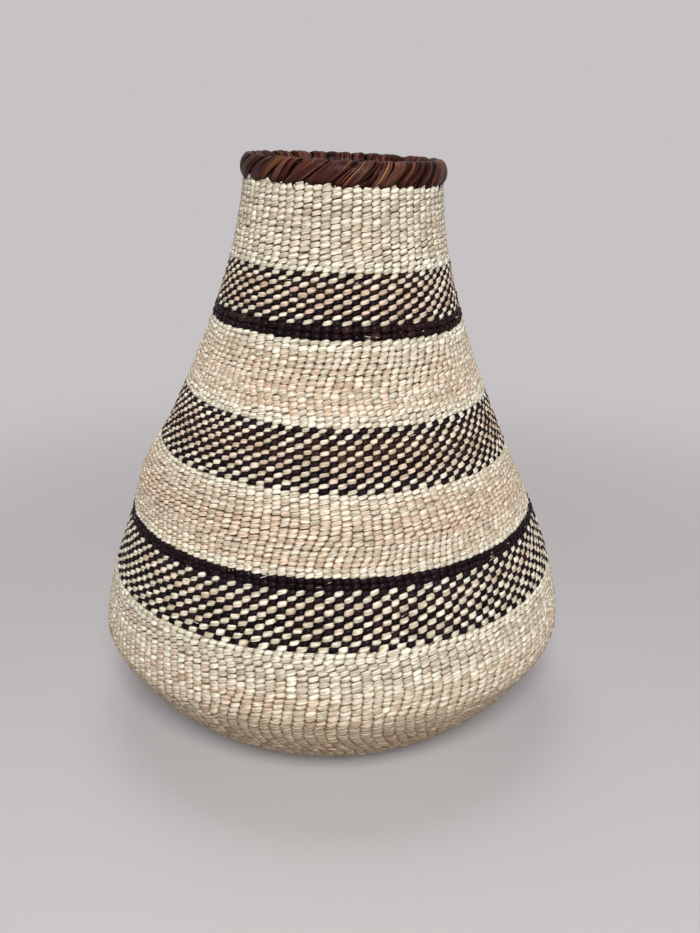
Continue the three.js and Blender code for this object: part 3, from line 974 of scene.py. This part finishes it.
random = np.random.default_rng(31)
fibre_profile = bevel_profile(
    "fibre_profile",
    [
        (-FIBRE_WIDTH / 2, 0),
        (0, FIBRE_THICKNESS),
        (FIBRE_WIDTH / 2, 0),
        (0, -FIBRE_THICKNESS / 2),
    ],
)
loose_places = [
    np.flatnonzero(stitch_dyed == 2),
    np.flatnonzero(stitch_dyed == 1),
    np.flatnonzero(stitch_s > WALL_WEAVE_STARTS),
]
t = np.linspace(0, 1, FIBRE_POINTS)
fibre_widths = FIBRE_NARROWEST + (1 - FIBRE_NARROWEST) * np.sin(math.pi * np.clip(t, 0.1, 0.9))
fibre_paths = []
for k in range(FIBRE_COUNT):
    stitch = int(random.choice(loose_places[k % len(loose_places)]))
    length = random.uniform(*FIBRE_LENGTHS)
    climb = random.normal(FIBRE_CLIMB, FIBRE_CLIMB_SPREAD)
    bend = random.normal(0, FIBRE_BEND_SPREAD)
    stands_off = 0 if k % FIBRE_STANDS_OFF_EVERY else random.uniform(*FIBRE_STANDS_OFF)
    shift = random.uniform(-FIBRE_SHIFT, FIBRE_SHIFT)
    radius = np.interp(stitch_s[stitch], outline_s, outline[:, 0])
    angle = stitch_angle[stitch] + (t - 0.5) * length / radius
    s = stitch_s[stitch] + shift + (t - 0.5) * climb * length + bend * t * (1 - t)
    places = wall_place(angle, s, -FIBRE_LIFT - stands_off * t**2)
    fibre_paths.append((places, -np.interp(s, outline_s, outline_turn), fibre_widths))

fibre_material, tree, shader = material_named("loose_fibre", roughness=0.5)
patches = noise(tree, place_on_object(tree), scale=60, detail=2)
fibre_colours = [(0.4, (0.46, 0.35, 0.23, 1)), (0.6, (0.72, 0.68, 0.54, 1))]
tree.links.new(colours_along(tree, patches, fibre_colours), shader.inputs["Base Color"])

fibres_mesh = strips_mesh("loose_fibres", fibre_profile, fibre_paths, "Z_UP")
close_caps(fibres_mesh)
piece_from("loose_fibres", fibres_mesh, fibre_material, None)


# Rim hoop
# A hoop of bent cane with an oval section lies on the top row and holds the mouth round. It is
# hidden under the binding, so the solid of the frame keeps its shape and only gets its finish.
hoop_material, tree, shader = material_named("hoop_cane", roughness=0.55)
grain = noise(tree, place_on_object(tree), scale=300, detail=4)
hoop_colours = [(0, (0.22, 0.13, 0.06, 1)), (1, (0.42, 0.28, 0.14, 1))]
tree.links.new(colours_along(tree, grain, hoop_colours), shader.inputs["Base Color"])
for material_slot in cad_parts["rim_hoop"].material_slots:
    material_slot.material = hoop_material


# Rim binding
# A long strip of dark bark is wound over the hoop and through the top rows. Each wrap climbs to the
# right over the outside, covers the edge of the wrap to its right, and drops inside the mouth.
WRAPS = 30
HOOP_RADIUS = 52.4
BINDING_CENTRE = 327.0
BINDING_RISE = 5.4
BINDING_REACH = 2.9
BINDING_THICKNESS = 0.45
BINDING_WIDTH = 16.5
BINDING_SHARE_IN_NOTCH = 0.5
BINDING_PADDING = 0.2
STEPS_PER_WRAP = 26
STEPS_ACROSS = 18

# Height of a wrap's free edge and of its roll, and how deep its other edge is tucked
BINDING_SHINGLE = 0.25
BINDING_ROLL = 0.85
BINDING_TUCK = 0.35

# The wraps have uneven room, and at the right of the front they are gathered closer
WRAP_ROOM_SPREAD = 0.3
WRAP_ROOM_LIMITS = (0.6, 1.6)
GATHERED_ROOM = 0.62
GATHERED_FROM = math.radians(295)
GATHERED_TO = math.radians(350)
WRAP_WIDTH_SPREAD = 0.12
WRAP_SAG = 0.4
WRAP_SAG_SPREAD = 0.6

# Creases run along the strip, and drift across it by up to so many radians a wrap
CREASES = 9
CREASE_DEPTH = 0.12
CREASE_RADIANS = (4, 16)
CREASE_DRIFT = 1.2

# The strip's two ends stop short of each other by twice this share of a wrap
STRIP_END = 0.01

random = np.random.default_rng(21)
wrap_room = np.clip(1 + WRAP_ROOM_SPREAD * random.standard_normal(WRAPS), *WRAP_ROOM_LIMITS)
even_angle = (np.arange(WRAPS) + 0.5) * math.tau / WRAPS
wrap_room[(even_angle > GATHERED_FROM) & (even_angle < GATHERED_TO)] *= GATHERED_ROOM
notch_angle = np.concatenate([[0], np.cumsum(wrap_room)]) * math.tau / wrap_room.sum()
room = np.diff(notch_angle) * HOOP_RADIUS
room_at_notch = (np.append(room, room[0]) + np.append(room[-1], room)) / 2

bm = bmesh.new()
bm.loops.layers.uv.new("UVMap")
bmesh.ops.create_grid(
    bm,
    x_segments=WRAPS * STEPS_PER_WRAP,
    y_segments=STEPS_ACROSS,
    size=1,
    calc_uvs=True,
)
grid = np.array([vertex.co[:2] for vertex in bm.verts])
across = grid[:, 1]
turned = (grid[:, 0] + 1) / 2 * (WRAPS - 2 * STRIP_END) + STRIP_END
wrap = np.clip(np.floor(turned).astype(int), 0, WRAPS - 1)
part = turned - np.floor(turned)
climbed = np.where(part < 0.5, (1 - np.cos(math.tau * part)) / 2, 1)
in_notch = np.clip(np.cos(math.tau * part), 0, 1) ** 3
wrap_width = 1 + WRAP_WIDTH_SPREAD * random.standard_normal(WRAPS + 1)
wrap_sag = WRAP_SAG + WRAP_SAG_SPREAD * random.standard_normal(WRAPS + 1)
own_width = (1 - part) * wrap_width[wrap] + part * wrap_width[wrap + 1]
own_sag = (1 - part) * wrap_sag[wrap] + part * wrap_sag[wrap + 1]
half_width = own_width * (1 - (1 - BINDING_SHARE_IN_NOTCH) * in_notch) * BINDING_WIDTH / 2
middle_angle = np.interp(wrap + climbed, np.arange(WRAPS + 1), notch_angle)
angle = middle_angle + across * half_width / HOOP_RADIUS
around = math.tau * part - math.pi / 2
creases = np.zeros(len(across))
for _ in range(CREASES):
    radians_across = random.uniform(*CREASE_RADIANS)
    phase = random.uniform(0, math.tau)
    drift = random.uniform(-CREASE_DRIFT, CREASE_DRIFT)
    creases += np.sin(radians_across * across + phase + drift * turned) / CREASES**0.5

# Each wrap shows as a soft roll from its free edge to that of the wrap to its left, which covers it
shown = (1 - across) * half_width / np.interp(turned, np.arange(WRAPS + 1), room_at_notch)
roll = BINDING_SHINGLE * (1 - shown) + BINDING_ROLL * 4 * shown * (1 - shown)
tucked = -BINDING_TUCK * np.minimum(shown - 1, 1)
lift = np.where(shown < 1, roll, tucked) + CREASE_DEPTH * creases + BINDING_PADDING
radius = HOOP_RADIUS + (BINDING_REACH + lift) * np.cos(around)
height = BINDING_CENTRE + (BINDING_RISE + lift) * np.sin(around)
height += np.minimum(np.sin(around), 0) * own_sag * (1 - across**2)
places = shaped_by_hand(radius * np.cos(angle), radius * np.sin(angle), height)
for vertex, vertex_place in zip(bm.verts, places):
    vertex.co = vertex_place
bmesh.ops.recalc_face_normals(bm, faces=bm.faces)
bmesh.ops.solidify(bm, geom=bm.faces, thickness=BINDING_THICKNESS * MILLIMETRE)
for face in bm.faces:
    face.smooth = True
binding_mesh = bpy.data.meshes.new("rim_bark")
bm.to_mesh(binding_mesh)
bm.free()

# The strip is unwrapped with its length along U and its width along V. Grain comes first, then
# redder wraps, golden patches, pale patches of painted sheen and thin straw-coloured streaks.
BARK_COLOURS = [
    (0.40, (0.005, 0.0010, 0.0008, 1)),
    (0.53, (0.025, 0.0070, 0.0056, 1)),
    (0.70, (0.115, 0.034, 0.020, 1)),
]
BARK_LAYERS = [
    # noise for a wrap and across the strip, its detail, where it starts and is full, share, colour
    (0.6, 0.4, 0, 0.40, 0.62, 0.50, (0.052, 0.017, 0.013, 1)),
    (0.9, 5, 1, 0.60, 0.70, 0.55, (0.19, 0.065, 0.020, 1)),
    # Pale patches of painted sheen, in place of the bark's soft highlights
    (1.3, 3, 1, 0.48, 0.72, 0.65, (0.125, 0.052, 0.042, 1)),
    (1.1, 24, 1, 0.665, 0.73, 0.80, (0.36, 0.17, 0.055, 1)),
]

# Two tints of painted shade: in the seam along the free edge, where V is high, and at the notch,
# where a new wrap starts. Their places are shares of the width and of a wrap.
FREE_EDGE_SHADE_STARTS = 0.84
FREE_EDGE_SHADE_FULL = 0.96
FREE_EDGE_PAINTED_SHADE = (0.06, 0.03, 0.03, 1)
NOTCH_SHADE_FULL = 0.06
NOTCH_SHADE_ENDS = 0.19
NOTCH_PAINTED_SHADE = (0.20, 0.12, 0.10, 1)

bark_material, tree, shader = material_named("bark", roughness=0.23, specular=0.035)
strip = unwrapped(tree)


def bark_noise(per_wrap, across_strip, detail):
    return noise(tree, stretched(tree, strip, (per_wrap * WRAPS, across_strip, 1)), 1, detail)


grain = bark_noise(2.2, 14, 3)
colour = colours_along(tree, grain, BARK_COLOURS)
for per_wrap, across_strip, detail, start, full, most, layer_colour in BARK_LAYERS:
    layer = ranged(tree, bark_noise(per_wrap, across_strip, detail), start, full, 0, most)
    colour = mixed_colour(tree, layer, colour, layer_colour)
place_on_strip = split(tree, strip)
# Painted shade in the seams between wraps and at the notches
free_edge = ranged(tree, place_on_strip["Y"], FREE_EDGE_SHADE_STARTS, FREE_EDGE_SHADE_FULL)
colour = mixed_colour(tree, free_edge, colour, FREE_EDGE_PAINTED_SHADE, "MULTIPLY")
part_of_wrap = computed(tree, "FRACT", computed(tree, "MULTIPLY", place_on_strip["X"], WRAPS))
near_notch = ranged(tree, part_of_wrap, NOTCH_SHADE_FULL, NOTCH_SHADE_ENDS, 1, 0)
colour = mixed_colour(tree, near_notch, colour, NOTCH_PAINTED_SHADE, "MULTIPLY")
tree.links.new(colour, shader.inputs["Base Color"])
add_bump(tree, shader, grain, strength=0.7, depth=0.0007)
piece_from("rim_bark", binding_mesh, bark_material, ["rim_binding"])


# Bark ends
# Where one length of bark gives out and the next is laid in, its end is pushed down between the top
# rows of the neck, and a short brown tip shows below the binding.
BARK_ENDS = 13
BARK_END_WIDTH = 1.7
BARK_END_THICKNESS = 0.5
BARK_END_LENGTHS = (3.2, 6.5)
BARK_END_START = 0.5
BARK_END_POINTS = 8
BARK_END_PLACE_SPREAD = 0.8
BARK_END_TURN_SPREAD = 0.02
BARK_END_OVER_STRAND = 0.35
BARK_END_LIFT = STRAND_OUT + BARK_END_OVER_STRAND - WEAVE_DEPTH
BARK_END_DIVE = 1.2
BARK_END_TAPER = 0.75

random = np.random.default_rng(41)
end_profile = bevel_profile(
    "bark_end_profile",
    [
        (-BARK_END_WIDTH / 2, 0),
        (0, BARK_END_THICKNESS / 2),
        (BARK_END_WIDTH / 2, 0),
        (0, -BARK_END_THICKNESS / 2),
    ],
)
t = np.linspace(0, 1, BARK_END_POINTS)
end_paths = []
for k in range(BARK_ENDS):
    start_angle = math.tau * (k + BARK_END_PLACE_SPREAD * random.random()) / BARK_ENDS
    angle = start_angle + random.normal(0, BARK_END_TURN_SPREAD) * t
    s = wall_length - BARK_END_START - random.uniform(*BARK_END_LENGTHS) * t
    places = wall_place(angle, s, BARK_END_DIVE * t**3 - BARK_END_LIFT)
    end_paths.append((places, np.zeros(BARK_END_POINTS), 1 - BARK_END_TAPER * t**2))
ends_mesh = strips_mesh("bark_ends", end_profile, end_paths, "MINIMUM")
close_caps(ends_mesh)
piece_from("bark_ends", ends_mesh, bark_material, None)
